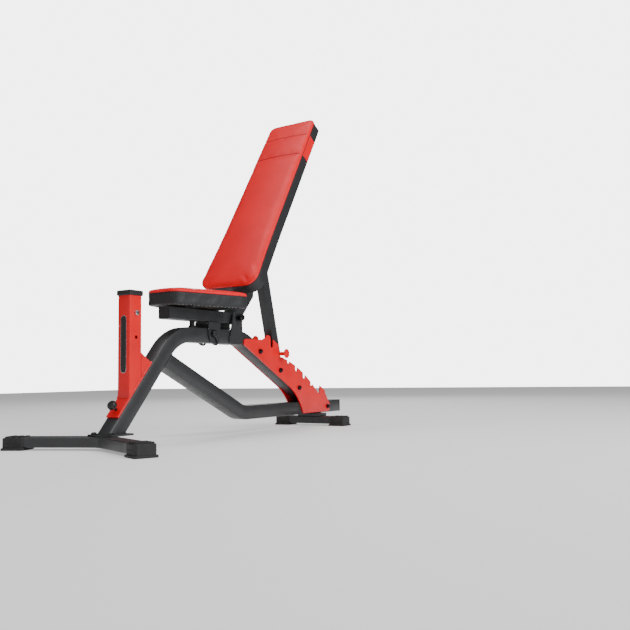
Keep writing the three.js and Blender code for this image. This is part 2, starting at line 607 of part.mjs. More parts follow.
// The seat narrows forwards, with straight sides between round corners.
function seatOutline(inset) {
  const frontX = SEAT.frontHalf - SEAT_CORNER.front;
  const rearX = SEAT.rearHalf - SEAT_CORNER.rear;
  const frontY = SEAT.front + SEAT_CORNER.front;
  const rearY = SEAT.rear - SEAT_CORNER.rear;
  const front = SEAT_CORNER.front - inset;
  const rear = SEAT_CORNER.rear - inset;
  return around([
    [-frontX, frontY, front], [frontX, frontY, front], [rearX, rearY, rear], [-rearX, rearY, rear]]);
}
add('seat_board', planSlab(seatOutline(3), seatBoardBottom, seatBoardBottom + SEAT.board, 0, 4), plywood);
add('seat_pad', planSlab(seatOutline(0), seatPadBottom, SEAT.top, 9, 5), redVinyl);

// An inverted channel under the seat tube whose cheeks straddle the main tube, each with a curved slot.
const clampArm = SEAT_CLAMP.clone().sub(PIVOT);
const clampRadius = clampArm.length();
const clampAngle = clampArm.angle();
const cheekInner = HALF + 1;
const CHEEK = 4;
const slotHalf = BOLT + 0.6;
const slotEnds = [clampAngle - deg(0.4), clampAngle + deg(SEAT_TILT + 0.4)];
function curvedSlot(halfWidth) {
  const shape = new THREE.Shape();
  const [from, to] = slotEnds;
  const endAt = (angle) => clampArm.clone().setLength(clampRadius)
    .rotateAround(new THREE.Vector2(), angle - clampAngle)
    .add(PIVOT);
  shape.absarc(PIVOT.x, PIVOT.y, clampRadius + halfWidth, from, to);
  shape.absarc(...endAt(to).toArray(), halfWidth, to, to + Math.PI);
  shape.absarc(PIVOT.x, PIVOT.y, clampRadius - halfWidth, to, from, true);
  shape.absarc(...endAt(from).toArray(), halfWidth, from + Math.PI, from + 2 * Math.PI);
  return shape;
}
const saddleTop = seatTubeLow - GAP;
const cheek = new THREE.Shape();
cheek.moveTo(312, saddleTop);
cheek.lineTo(312, 350);
cheek.quadraticCurveTo(318, 316, 342, 311);
cheek.quadraticCurveTo(362, 306, 368, 324);
cheek.lineTo(376, saddleTop);
cheek.closePath();
const saddle = cut(
  join(
    sideSlab(cheek, cheekInner, cheekInner + CHEEK),
    sideSlab(cheek, -cheekInner - CHEEK, -cheekInner),
    block([-cheekInner - CHEEK, 312, saddleTop - CHEEK], [cheekInner + CHEEK, 376, saddleTop])),
  sideSlab(curvedSlot(slotHalf), -60, 60));
add('seat_saddle', saddle, paint);

const saddleFace = cheekInner + CHEEK;
const clampShaft = join(
  crossRod(BOLT, -saddleFace - 3, saddleFace + 6, SEAT_CLAMP),
  crossRod(9, -saddleFace - 8, -saddleFace - GAP, SEAT_CLAMP, 6));
add('seat_clamp_bolt', clampShaft, blackSteel);
const handNut = cut(
  turned([[0, 0], [11, 0], [12, 2], [12, 9], [9, 12], [0, 12]],
    [saddleFace + GAP, SEAT_CLAMP.x, SEAT_CLAMP.y], [saddleFace + 20, SEAT_CLAMP.x, SEAT_CLAMP.y], 24),
  crossRod(BOLT + 0.2, 0, saddleFace + 6.4, SEAT_CLAMP));
add('seat_clamp_nut', handNut, plastic);

// A rubber buffer on the main tube that carries the seat tube when the seat is level.
const STOP_Y = 262;
const stopBase = TOP_AXIS_Z + HALF + GAP;
const stopHeight = saddleTop - stopBase;
const stopProfile = [[0, 0], [12, 0], [12, 5], [9, 8], [9, stopHeight], [0, stopHeight]];
add('seat_stop', turned(stopProfile, [0, STOP_Y, stopBase], [0, STOP_Y, stopBase + 1]), rubber);

// ---------------------------------------------------------------- back
// Pieces of the back are drawn in its own frame: X across, Y up along the pad, Z out of its face.
const back = new THREE.Group();
back.position.set(0, BACK_ORIGIN.x, BACK_ORIGIN.y);
back.rotation.x = deg(BACK_ANGLE);
bench.add(back);
// Side view inside that frame, as (t along the pad, o behind its face).
const backSlab = (shape, low, high) => solid(raise(shape, high - low).applyMatrix4(
  new THREE.Matrix4().makeBasis(new THREE.Vector3(0, 1, 0), new THREE.Vector3(0, 0, -1),
    new THREE.Vector3(-1, 0, 0))).translate(high, 0, 0));
const boardTop = PAD + GAP;
const stripTop = boardTop + BOARD + GAP;
const tubeTop = stripTop + STRIP + GAP;
const tubeBack = tubeTop + BACK_TUBE;
const tubeLow = -18;
const tubeHigh = 700;
const pivotInBack = PIVOT.clone().sub(BACK_ORIGIN);
const pivotT = pivotInBack.dot(along);
const pivotO = pivotInBack.dot(behind);
const backRod = (radius, low, high, t, o, segments = 16) => rodBetween(
  radius, [low, t, -o], [high, t, -o], segments);

const backTube = cut(
  solid(raise(roundedRect(BACK_TUBE, BACK_TUBE, 3.5), tubeHigh - tubeLow, 0, 3)
    .rotateX(-Math.PI / 2).translate(0, tubeLow, -(tubeTop + BACK_TUBE / 2))),
  block([-BACK_TUBE / 2 + 2, tubeLow - 5, -tubeBack + 2], [BACK_TUBE / 2 - 2, tubeHigh + 5, -tubeTop - 2]));
add('back_tube', backTube, paint, back);
const tubeEnd = (BACK_TUBE / 2) - 2 - GAP;
const tubeAxis = tubeTop + BACK_TUBE / 2;
const tubeCap = join(
  block([-BACK_TUBE / 2, tubeHigh + GAP, -tubeBack], [BACK_TUBE / 2, tubeHigh + 4, -tubeTop]),
  block([-tubeEnd, tubeHigh - 15, -tubeAxis - tubeEnd], [tubeEnd, tubeHigh + 1, -tubeAxis + tubeEnd]));
add('back_tube_cap', tubeCap, plastic, back);

const lugOutline = new THREE.Shape();
lugOutline.absarc(pivotT, pivotO, 21, deg(100), deg(250));
lugOutline.lineTo(-16, tubeTop + 4);
lugOutline.lineTo(110, tubeTop + 4);
lugOutline.lineTo(110, tubeBack);
lugOutline.lineTo(52, tubeBack + 30);
lugOutline.quadraticCurveTo(46, tubeBack + 34, 38, tubeBack + 31);
lugOutline.closePath();
const LUG_IN = BACK_TUBE / 2 + GAP;
const LUG_OUT = LUG_IN + 4;
const backLug = (low, high) => cut(
  backSlab(lugOutline, low, high), backRod(BOLT + 1.3, -60, 60, pivotT, pivotO));
add('back_lug_left', backLug(LUG_IN, LUG_OUT), paint, back);
add('back_lug_right', backLug(-LUG_OUT, -LUG_IN), paint, back);

const strutLugOutline = around([
  [STRUT.along - 34, tubeTop + 12, 8], [STRUT.along + 34, tubeTop + 12, 8],
  [STRUT.along, STRUT.behind, 15]]);
const strutLug = (low, high) => cut(
  backSlab(strutLugOutline, low, high), backRod(BOLT + 0.3, -60, 60, STRUT.along, STRUT.behind));
add('strut_lug_left', strutLug(LUG_IN, LUG_OUT), paint, back);
add('strut_lug_right', strutLug(-LUG_OUT, -LUG_IN), paint, back);
const strutBolt = join(
  backRod(BOLT, -LUG_OUT - 10, LUG_OUT + 4, STRUT.along, STRUT.behind),
  backRod(9, LUG_OUT + GAP, LUG_OUT + 6, STRUT.along, STRUT.behind),
  backRod(9, -LUG_OUT - 8, -LUG_OUT - GAP, STRUT.along, STRUT.behind, 6));
add('strut_pivot_bolt', strutBolt, blackSteel, back);

// The pad narrows upwards: half widths at its lower end, its middle and its upper end.
const PAD_HALF = [125, 115, 108];
function backOutline(inset) {
  const [low, middle, high] = PAD_HALF.map((half) => half - inset);
  const end = BACK_LENGTH - inset;
  const lowRound = 44 - inset;
  const highRound = 26 - inset;
  const waist = BACK_LENGTH * 0.45;
  const shape = new THREE.Shape();
  shape.moveTo(-low + lowRound, inset);
  shape.lineTo(low - lowRound, inset);
  shape.absarc(low - lowRound, inset + lowRound, lowRound, -Math.PI / 2, 0);
  shape.quadraticCurveTo(middle, waist * 0.6, middle, waist);
  shape.lineTo(high, end - highRound);
  shape.absarc(high - highRound, end - highRound, highRound, 0, Math.PI / 2);
  shape.absarc(-high + highRound, end - highRound, highRound, Math.PI / 2, Math.PI);
  shape.lineTo(-middle, waist);
  shape.quadraticCurveTo(-middle, waist * 0.6, -low, inset + lowRound);
  shape.absarc(-low + lowRound, inset + lowRound, lowRound, Math.PI, 1.5 * Math.PI);
  return shape;
}
add('back_pad', planSlab(backOutline(0), -PAD, 0, 9, 5), redVinyl, back);
add('back_board', planSlab(backOutline(3), -boardTop - BOARD, -boardTop, 0, 4), plywood, back);
const stripRows = [150, 520];
stripRows.forEach((t, i) => {
  const bar = planSlab(roundedRect(176, 36, 8), -stripTop - STRIP, -stripTop).translate([0, t, 0]);
  const holes = [-1, 1].map((side) => rodBetween(3.4, [side * 68, t, -80], [side * 68, t, -30], 12));
  add(`back_cross_strip_${i + 1}`, cut(bar, ...holes), paint, back);
  [-1, 1].forEach((side, j) => add(`back_strip_screw_${2 * i + j + 1}`, turned(
    [[0, -3.4], [3, -3.4], [3, GAP], [7, GAP], [7, 2], [4, 4], [0, 4.4]],
    [side * 68, t, -stripTop - STRIP], [side * 68, t, -200], 14), zinc, back));
});

// ---------------------------------------------------------------- strut
const strut = new THREE.Group();
strut.position.set(0, strutPivot.x, strutPivot.y);
strut.rotation.x = ROD_REST.clone().sub(strutPivot).angle();
bench.add(strut);
const strutEnd = STRUT.depth / 2;
function capsule(half, low, high, from, to) {
  const shape = new THREE.Shape();
  shape.absarc(to, 0, half, -Math.PI / 2, Math.PI / 2);
  shape.absarc(from, 0, half, Math.PI / 2, 1.5 * Math.PI);
  return sideSlab(shape, low, high, 0, 6);
}
const strutTube = cut(
  capsule(strutEnd, -STRUT.width / 2, STRUT.width / 2, 0, strutLength),
  block([-STRUT.width / 2 + STRUT.wall, -40, -strutEnd + STRUT.wall],
    [STRUT.width / 2 - STRUT.wall, strutLength + 40, strutEnd - STRUT.wall]),
  crossRod(BOLT + 0.3, -40, 40, new THREE.Vector2(0, 0)),
  crossRod(ROD_RADIUS + GAP, -40, 40, new THREE.Vector2(strutLength, 0)));
add('strut_tube', strutTube, paint, strut);
const ROD_REACH = 62;
const strutRod = crossRod(ROD_RADIUS, -ROD_REACH + 4, ROD_REACH - 4, new THREE.Vector2(strutLength, 0), 20);
add('strut_rod', strutRod, redPaint, strut);
const discProfile = [[0, 0], [16, 0], [18, 2], [18, 4], [16, 6], [0, 6]];
[1, -1].forEach((side) => {
  const start = side * (ROD_REACH - 6);
  const disc = turned(discProfile, [start, strutLength, 0], [start + side, strutLength, 0], 24);
  const boreEnds = [start - side, start + side * 2.6].sort((a, b) => a - b);
  const bore = crossRod(ROD_RADIUS + GAP, ...boreEnds, new THREE.Vector2(strutLength, 0));
  add(side > 0 ? 'rod_disc_left' : 'rod_disc_right', cut(disc, bore), redPaint, strut);
});

// ---------------------------------------------------------------- origin
const box = new THREE.Box3().setFromObject(bench, true);
bench.position.y = -(box.min.y + box.max.y) / 2;

export default bench;
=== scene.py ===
import json
import math

import bpy
import numpy as np
from mathutils import Matrix, Vector
from mathutils.bvhtree import BVHTree


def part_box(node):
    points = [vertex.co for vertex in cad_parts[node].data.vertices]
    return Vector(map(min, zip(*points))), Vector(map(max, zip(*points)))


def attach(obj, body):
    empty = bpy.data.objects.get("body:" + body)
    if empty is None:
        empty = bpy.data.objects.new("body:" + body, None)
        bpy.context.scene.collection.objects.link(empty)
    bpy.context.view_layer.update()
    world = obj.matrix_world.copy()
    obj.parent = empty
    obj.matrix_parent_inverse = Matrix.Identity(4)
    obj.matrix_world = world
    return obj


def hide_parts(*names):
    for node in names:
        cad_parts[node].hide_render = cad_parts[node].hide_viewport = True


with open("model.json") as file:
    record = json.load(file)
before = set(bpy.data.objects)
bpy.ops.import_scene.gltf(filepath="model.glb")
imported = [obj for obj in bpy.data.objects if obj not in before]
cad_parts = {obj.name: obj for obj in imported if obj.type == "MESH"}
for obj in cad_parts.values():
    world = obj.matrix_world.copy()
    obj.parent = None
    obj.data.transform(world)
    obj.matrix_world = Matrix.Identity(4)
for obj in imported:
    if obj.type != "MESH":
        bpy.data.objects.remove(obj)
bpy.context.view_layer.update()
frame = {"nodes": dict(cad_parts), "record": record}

# An adjustable weight bench in its studio. Outlines, profiles and beads are given in millimetres, and MM
# turns them into metres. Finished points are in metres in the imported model's frame, but for the cushions,
# which are drawn in a frame of their own and then put in place.
MM = 0.001

# The frame's outlines start at the middle of the leg's foot. LEG_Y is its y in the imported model's frame.
POST_FRONT_MM = -44
LEG_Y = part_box("post_tube")[0].y - POST_FRONT_MM * MM

BACK_ANGLE = math.radians(58)
BACK_ORIGIN = Vector((0, LEG_Y + 0.437, 0.525))
BACK_FRAME = Matrix.Translation(BACK_ORIGIN) @ Matrix.Rotation(BACK_ANGLE, 4, "X")
SEAT_FRAME = Matrix.Translation(Vector((0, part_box("seat_pad")[0].y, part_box("seat_pad")[1].z)))


def drawn(x, y, z):
    """A point given in millimetres from the leg's foot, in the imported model's frame."""
    return Vector((x * MM, LEG_Y + y * MM, z * MM))


# ---------------------------------------------------------------- camera, lights and floor
FILL = 0.12  # how bright the studio is to the bench
BACKDROP = 5.0  # and as seen behind it
FLOOR_GLOW = 0.35
FLOOR_HALF = 9.0  # metres
CAMERA_PLACE = (1635, -1616, 200)
CAMERA_YAW, CAMERA_PITCH, CAMERA_ROLL = 31.57, 4.75, -0.85  # degrees
LIGHT_TARGET = (0, 0, 0.5)


def add_camera():
    data = bpy.data.cameras.new("camera")
    data.lens = 42.26
    data.sensor_width = 36
    camera = bpy.data.objects.new("camera", data)
    bpy.context.scene.collection.objects.link(camera)
    yaw, pitch, roll = (math.radians(angle) for angle in (CAMERA_YAW, CAMERA_PITCH, CAMERA_ROLL))
    forward = Vector((-math.sin(yaw) * math.cos(pitch), math.cos(yaw) * math.cos(pitch), math.sin(pitch)))
    right = Vector((math.cos(yaw), math.sin(yaw), 0))
    up = right.cross(forward)
    tilted_right = math.cos(roll) * right + math.sin(roll) * up
    tilted_up = math.cos(roll) * up - math.sin(roll) * right
    turn = Matrix((tilted_right, tilted_up, -forward)).transposed().to_4x4()
    camera.matrix_world = Matrix.Translation(drawn(*CAMERA_PLACE)) @ turn
    bpy.context.scene.camera = camera


def add_light(name, place, target, size, watts):
    data = bpy.data.lights.new(name, "AREA")
    data.shape = "SQUARE"
    data.size = size
    data.energy = watts
    light = bpy.data.objects.new(name, data)
    bpy.context.scene.collection.objects.link(light)
    light.location = place
    light.rotation_euler = (Vector(target) - Vector(place)).to_track_quat("-Z", "Y").to_euler()


def add_studio():
    half = FLOOR_HALF
    mesh = bpy.data.meshes.new("floor")
    corners = [(-half, -half, 0), (half, -half, 0), (half, half, 0), (-half, half, 0)]
    mesh.from_pydata(corners, [], [(0, 1, 2, 3)])
    floor = bpy.data.objects.new("floor", mesh)
    bpy.context.scene.collection.objects.link(floor)
    pale = bpy.data.materials.new("pale_floor")
    pale.use_nodes = True
    surface = pale.node_tree.nodes["Principled BSDF"]
    surface.inputs["Base Color"].default_value = (0.8, 0.8, 0.8, 1)
    surface.inputs["Roughness"].default_value = 0.8
    surface.inputs["Emission Color"].default_value = (1, 1, 1, 1)
    surface.inputs["Emission Strength"].default_value = FLOOR_GLOW
    mesh.materials.append(pale)
    add_world()
    add_light("side", (3.4, -0.2, 2.3), LIGHT_TARGET, 2.6, 125)
    add_light("top", (-0.3, -0.9, 4.2), LIGHT_TARGET, 3.0, 100)
    add_light("front", (-1.6, -3.6, 1.4), LIGHT_TARGET, 1.6, 7)
    add_light("back", (-1.6, 3.4, 2.4), LIGHT_TARGET, 2.0, 40)


def add_world():
    """A dim even studio that is itself seen as nearly white."""
    world = bpy.data.worlds.new("studio")
    world.use_nodes = True
    tree = world.node_tree
    shown = tree.nodes.new("ShaderNodeLightPath").outputs["Is Camera Ray"]
    strength = tree.nodes.new("ShaderNodeMapRange")
    strength.inputs["To Min"].default_value = FILL
    strength.inputs["To Max"].default_value = BACKDROP
    tree.links.new(shown, strength.inputs["Value"])
    tree.links.new(strength.outputs["Result"], tree.nodes["Background"].inputs["Strength"])
    tree.nodes["Background"].inputs["Color"].default_value = (1, 1, 1, 1)
    bpy.context.scene.world = world


# ---------------------------------------------------------------- materials
class Finish:
    """A Principled material whose colour, roughness and bump come from noise in the piece's own space."""

    def __init__(self, name, color, roughness, metallic=0.0, coat=0.0, specular=0.5):
        self.material = bpy.data.materials.new(name)
        self.material.use_nodes = True
        self.tree = self.material.node_tree
        self.surface = self.tree.nodes["Principled BSDF"]
        self.surface.inputs["Metallic"].default_value = metallic
        self.surface.inputs["Coat Weight"].default_value = coat
        self.surface.inputs["Specular IOR Level"].default_value = specular
        self.place = self.tree.nodes.new("ShaderNodeTexCoord").outputs["Object"]
        self.color = color
        self.roughness = roughness
        self.bump = None

    def node(self, kind, inputs=(), **settings):
        made = self.tree.nodes.new(kind)
        for key, value in settings.items():
            setattr(made, key, value)
        for key, value in dict(inputs).items():
            if isinstance(value, bpy.types.NodeSocket):
                self.tree.links.new(value, made.inputs[key])
            else:
                made.inputs[key].default_value = value
        return made

    def noise(self, scale, detail=3.0, stretch=(1, 1, 1)):
        place = self.node("ShaderNodeMapping", {"Vector": self.place, "Scale": stretch})
        return self.node("ShaderNodeTexNoise", {
            "Vector": place.outputs["Vector"], "Scale": scale, "Detail": detail}).outputs["Fac"]

    def spread(self, value, low, high):
        """Noise values near a half, stretched over low to high."""
        stretched = self.node("ShaderNodeMapRange", {
            "Value": value, "From Min": 0.3, "From Max": 0.7, "To Min": low, "To Max": high})
        return stretched.outputs["Result"]

    def blotches(self, scale, darker, lighter):
        """Colour that drifts between a darker and a lighter share of the main colour."""
        tone = self.spread(self.noise(scale), 0.0, 1.0)
        mix = self.node("ShaderNodeMix", data_type="RGBA")
        self.tree.links.new(tone, mix.inputs["Factor"])
        mix.inputs["A"].default_value = (*[c * darker for c in self.color], 1)
        mix.inputs["B"].default_value = (*[c * lighter for c in self.color], 1)
        self.tone = mix.outputs["Result"]
        return self

    def rough(self, scale, swing, stretch=(1, 1, 1)):
        value = self.spread(self.noise(scale, 4.0, stretch), self.roughness - swing, self.roughness + swing)
        self.tree.links.new(value, self.surface.inputs["Roughness"])
        return self

    def height(self, value, strength, distance):
        """Adds one more layer of relief, distance in metres."""
        inputs = {"Height": value, "Strength": strength, "Distance": distance}
        if self.bump is not None:
            inputs["Normal"] = self.bump
        self.bump = self.node("ShaderNodeBump", inputs).outputs["Normal"]
        return self

    def soft_edges(self, radius):
        """Rounds the look of sharp edges."""
        self.bump = self.node("ShaderNodeBevel", {"Radius": radius}, samples=4).outputs["Normal"]
        self.edge = self.bump
        return self

    def edge_wear_and_highlight(self, amount, wear_and_highlight_tint):
        """Lightens the colour along the edges, where the rounded normal leaves the face's own: partly a
        thinned coat, partly a painted highlight.
        """
        own = self.node("ShaderNodeNewGeometry").outputs["Normal"]
        same = self.node("ShaderNodeVectorMath", {0: own, 1: self.edge}, operation="DOT_PRODUCT")
        edge = self.node("ShaderNodeMapRange", {
            "Value": same.outputs["Value"],
            "From Min": 0.99, "From Max": 0.86, "To Min": 0.0, "To Max": amount})
        patchy = self.node("ShaderNodeMath", {
            0: edge.outputs["Result"], 1: self.spread(self.noise(60, 5.0), 0.2, 1.0)}, operation="MULTIPLY")
        mix = self.node("ShaderNodeMix", data_type="RGBA")
        self.tree.links.new(patchy.outputs["Value"], mix.inputs["Factor"])
        self.tree.links.new(self.tone, mix.inputs["A"])
        mix.inputs["B"].default_value = (*wear_and_highlight_tint, 1)
        self.tone = mix.outputs["Result"]
        return self

    def done(self):
        self.tree.links.new(self.tone, self.surface.inputs["Base Color"])
        if self.bump is not None:
            self.tree.links.new(self.bump, self.surface.inputs["Normal"])
        return self.material


def powder_coat(name, color, roughness, wear_and_highlight_tint, coat):
    finish = Finish(name, color, roughness, 0.0, coat)
    # The edges lighten towards the last colour: worn coat and a painted edge highlight together.
    finish.soft_edges(0.0012).blotches(9, 0.9, 1.1).edge_wear_and_highlight(0.5, wear_and_highlight_tint).rough(22, 0.06)
    return finish.height(finish.noise(1100, 2.0), 0.22, 0.0002).done()


def vinyl(name, color, roughness):
    """Upholstery vinyl: a fine pebbled grain over slow unevenness."""
    finish = Finish(name, color, roughness, specular=0.3)
    warp = finish.node("ShaderNodeTexNoise", {"Vector": finish.place, "Scale": 260.0, "Detail": 2.0})
    bent = finish.node("ShaderNodeVectorMath", {
        0: warp.outputs["Color"], 1: (0.0016, 0.0016, 0.0016), 2: finish.place}, operation="MULTIPLY_ADD")
    grain = finish.node("ShaderNodeTexVoronoi", {"Vector": bent.outputs["Vector"], "Scale": 620.0},
                        feature="DISTANCE_TO_EDGE")
    finish.blotches(7, 0.93, 1.06).rough(30, 0.05)
    finish.height(finish.noise(45, 3.0), 0.25, 0.0015)
    return finish.height(grain.outputs["Distance"], 0.35, 0.00035).done()


def moulded(name, color, roughness, scale):
    finish = Finish(name, color, roughness)
    finish.soft_edges(0.0012).blotches(14, 0.85, 1.2).rough(40, 0.07)
    return finish.height(finish.noise(scale, 4.0), 0.35, 0.0003).done()


def metal(name, color, roughness):
    finish = Finish(name, color, roughness, 1.0)
    finish.soft_edges(0.0006).blotches(30, 0.85, 1.1).rough(25, 0.08, (1, 1, 12))
    return finish.height(finish.noise(900, 2.0, (1, 1, 8)), 0.15, 0.0001).done()


def ply(name):
    """Very dark plywood, with grain along the length."""
    finish = Finish(name, (0.035, 0.028, 0.022), 0.75)
    finish.blotches(18, 0.6, 1.2).rough(20, 0.08)
    return finish.height(finish.noise(120, 4.0, (1, 0.15, 8)), 0.4, 0.0006).done()


RED_VINYL = vinyl("red_vinyl_grain", (0.92, 0.002, 0.010), 0.42)
BLACK_VINYL = vinyl("black_vinyl_grain", (0.030, 0.031, 0.033), 0.42)
# Near-black, for the seam cord and the cross seams; on the cross seams it is also painted shade for the
# groove.
THREAD_AND_GROOVE_SHADE = moulded("thread_and_groove_shade", (0.012, 0.012, 0.013), 0.7, 2400)
FINISHES = {
    # The last colour of each powder coat is what its edges lighten to: a painted highlight as well as wear.
    "frame_paint": powder_coat(
        "graphite_powder_coat", (0.026, 0.027, 0.029), 0.42, (0.12, 0.12, 0.125), 0.1),
    "red_paint": powder_coat("red_powder_coat", (0.90, 0.001, 0.006), 0.34, (0.95, 0.12, 0.11), 0.25),
    "red_vinyl": RED_VINYL,
    "black_plastic": moulded("moulded_plastic", (0.016, 0.016, 0.017), 0.45, 1500),
    "rubber": moulded("ribbed_rubber", (0.020, 0.020, 0.021), 0.68, 700),
    "black_steel": metal("blackened_steel", (0.045, 0.045, 0.048), 0.34),
    "zinc": metal("bright_zinc", (0.62, 0.63, 0.64), 0.24),
    "plywood": ply("plywood_layers"),
}


SMOOTH_BELOW = 33  # degrees between faces


def smooth_by_angle():
    """A modifier group that welds split corners and shades every edge flatter than a limit as smooth."""
    tree = bpy.data.node_groups.new("smooth_by_angle", "GeometryNodeTree")
    tree.interface.new_socket("Geometry", in_out="INPUT", socket_type="NodeSocketGeometry")
    tree.interface.new_socket("Geometry", in_out="OUTPUT", socket_type="NodeSocketGeometry")
    start = tree.nodes.new("NodeGroupInput")
    merge = tree.nodes.new("GeometryNodeMergeByDistance")
    merge.inputs["Distance"].default_value = 1e-5
    strip = tree.nodes.new("GeometryNodeRemoveAttribute")
    strip.inputs["Name"].default_value = "custom_normal"
    faces = tree.nodes.new("GeometryNodeSetShadeSmooth")
    faces.domain = "FACE"
    edges = tree.nodes.new("GeometryNodeSetShadeSmooth")
    edges.domain = "EDGE"
    angle = tree.nodes.new("GeometryNodeInputMeshEdgeAngle")
    flat = tree.nodes.new("FunctionNodeCompare")
    flat.operation = "LESS_THAN"
    flat.inputs["B"].default_value = math.radians(SMOOTH_BELOW)
    end = tree.nodes.new("NodeGroupOutput")
    tree.links.new(start.outputs[0], merge.inputs["Geometry"])
    tree.links.new(merge.outputs["Geometry"], strip.inputs["Geometry"])
    tree.links.new(strip.outputs["Geometry"], faces.inputs["Geometry"])
    tree.links.new(faces.outputs["Geometry"], edges.inputs["Geometry"])
    tree.links.new(angle.outputs["Unsigned Angle"], flat.inputs["A"])
    tree.links.new(flat.outputs["Result"], edges.inputs["Shade Smooth"])
    tree.links.new(edges.outputs["Geometry"], end.inputs[0])
    return tree


def dress_cad_nodes():
    group = smooth_by_angle()
    for part in frame["record"]["subparts"]:
        node = frame["nodes"][part["node"]]
        node.data.materials.clear()
        node.data.materials.append(FINISHES[part["material_slot"]])
        node.modifiers.new("smooth", "NODES").node_group = group


# ---------------------------------------------------------------- mesh helpers
def add_mesh(name, points, faces, materials, smooth=True):
    mesh = bpy.data.meshes.new(name)
    mesh.from_pydata([tuple(p) for p in points], [], faces)
    for material in materials:
        mesh.materials.append(material)
    mesh.polygons.foreach_set("use_smooth", [smooth] * len(mesh.polygons))
    mesh.update()
    piece = bpy.data.objects.new(name, mesh)
    bpy.context.scene.collection.objects.link(piece)
    return piece


def tube(path, radius, sides=8, closed=False, ripple=0.0, pitch=0.003):
    """Points and faces of a round tube along a path of Vectors, with optional ripples and rounded ends."""
    count = len(path)
    points, faces = [], []
    travelled = 0.0
    for i, centre in enumerate(path):
        before = path[i - 1] if i or closed else centre
        after = path[(i + 1) % count] if i + 1 < count or closed else centre
        ahead = (after - before).normalized()
        level = Vector((0, 0, 1)) if abs(ahead.z) < 0.9 else Vector((1, 0, 0))
        side = ahead.cross(level).normalized()
        lift = side.cross(ahead)
        travelled += (centre - before).length if i else 0.0
        swell = 1 + ripple * math.sin(2 * math.pi * travelled / pitch)
        near_end = min(i, count - 1 - i)
        taper = 1.0 if closed or near_end > 1 else (0.35, 0.8)[near_end]
        for k in range(sides):
            a = 2 * math.pi * k / sides
            points.append(centre + (side * math.cos(a) + lift * math.sin(a)) * radius * swell * taper)
    rings = count if closed else count - 1
    for i in range(rings):
        j = (i + 1) % count
        for k in range(sides):
            m = (k + 1) % sides
            faces.append((i * sides + k, i * sides + m, j * sides + m, j * sides + k))
    if not closed:
        faces.append(tuple(reversed(range(sides))))
        faces.append(tuple(range((count - 1) * sides, count * sides)))
    return points, faces


def add_tubes(name, paths, material, body, slot, **settings):
    """One piece made of several tubes."""
    points, faces = [], []
    for path in paths:
        new_points, new_faces = tube(path, **settings)
        faces += [tuple(index + len(points) for index in face) for face in new_faces]
        points += new_points
    piece = add_mesh(name, points, faces, [material])
    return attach(piece, body)


def walk_line(corners, step):
    """Points every step along straight stretches."""
    path = [corners[0]]
    for a, b in zip(corners, corners[1:]):
        pieces = max(1, round((b - a).length / step))
        path += [a.lerp(b, (i + 1) / pieces) for i in range(pieces)]
    return path


def crossing(point, direction, other, heading):
    """Where two lines in the side view meet, as (y, z) in millimetres."""
    det = direction[0] * heading[1] - direction[1] * heading[0]
    dy, dz = other[0] - point[0], other[1] - point[1]
    s = (dy * heading[1] - dz * heading[0]) / det
    return point[0] + s * direction[0], point[1] + s * direction[1]


# ---------------------------------------------------------------- cushions
def arc(cx, cy, radius, start, end, count=18):
    angles = [math.radians(start + (end - start) * i / count) for i in range(count + 1)]
    return [(cx + radius * math.cos(a), cy + radius * math.sin(a)) for a in angles]


def curve(a, b, c, count=24):
    """A quadratic curve from a to c that leaves towards b."""
    shares = [i / count for i in range(count + 1)]
    return [tuple((1 - s) ** 2 * p + 2 * s * (1 - s) * q + s * s * r for p, q, r in zip(a, b, c))
            for s in shares]


def closed_outline(half, count):
    """The whole outline from its right half, as evenly spaced points with their inward normals."""
    half = np.array(half, float)
    run = np.concatenate([[0], np.cumsum(np.hypot(*np.diff(half, axis=0).T))])
    even = np.linspace(0, run[-1], count // 2 + 1)
    right = np.stack([np.interp(even, run, half[:, i]) for i in (0, 1)], 1)
    left = right[1:-1][::-1] * [-1, 1]
    ring = np.concatenate([right, left])
    ahead = np.roll(ring, -1, 0) - np.roll(ring, 1, 0)
    ahead /= np.linalg.norm(ahead, axis=1)[:, None]
    return ring, np.stack([-ahead[:, 1], ahead[:, 0]], 1)


def back_half_outline():
    low, middle, high, length = 125, 115, 108, 852
    waist = 0.45 * length
    half = [(0, 0)] + arc(low - 44, 44, 44, -90, 0)
    half += curve((low, 44), (middle, waist * 0.6), (middle, waist))
    return half + arc(high - 26, length - 26, 26, 0, 90) + [(0, length)]


def seat_half_outline():
    """Narrow in front and wide behind, with a straight side that touches both corner arcs."""
    front_half, rear_half, front_round, rear_round, length = 72, 135, 40, 28, 297
    front = (front_half - front_round, front_round)
    rear = (rear_half - rear_round, length - rear_round)
    gap = math.hypot(rear[0] - front[0], rear[1] - front[1])
    side = math.degrees(math.atan2(rear[1] - front[1], rear[0] - front[0])
                        - math.asin((rear_round - front_round) / gap)) - 90
    return [(0, 0)] + arc(*front, front_round, -90, side) + arc(*rear, rear_round, side, 90) + [(0, length)]


SEAM = 12  # the seam between face and side, below the face
HEM = 20  # how far the cover turns in under the board


def cover_profile(foam, board):
    """The cover's section at the edge, as (inset, height): under the board, up the side, over the roll."""
    base = -foam - board
    return [
        (2.6, -foam), (2.6, base), (HEM, base), (HEM + 0.8, base - 0.35), (HEM, base - 0.7),
        (10, base - 0.7), (4, base - 0.7), (1.6, base - 0.1), (0.5, base + 2.0), (0.6, base + 7.0),
        (1.0, base + 13), (1.5, (base - SEAM) / 2), (1.2, -SEAM - 8), (0.8, -SEAM - 3.4), (1.0, -SEAM - 1.4),
        (2.6, -SEAM), (1.0, -SEAM + 1.4), (0.1, -SEAM + 4.0), (0.6, -4.6), (2.4, -1.9), (5.6, 0.2),
        (10.5, 1.5), (17, 2.4),
    ]


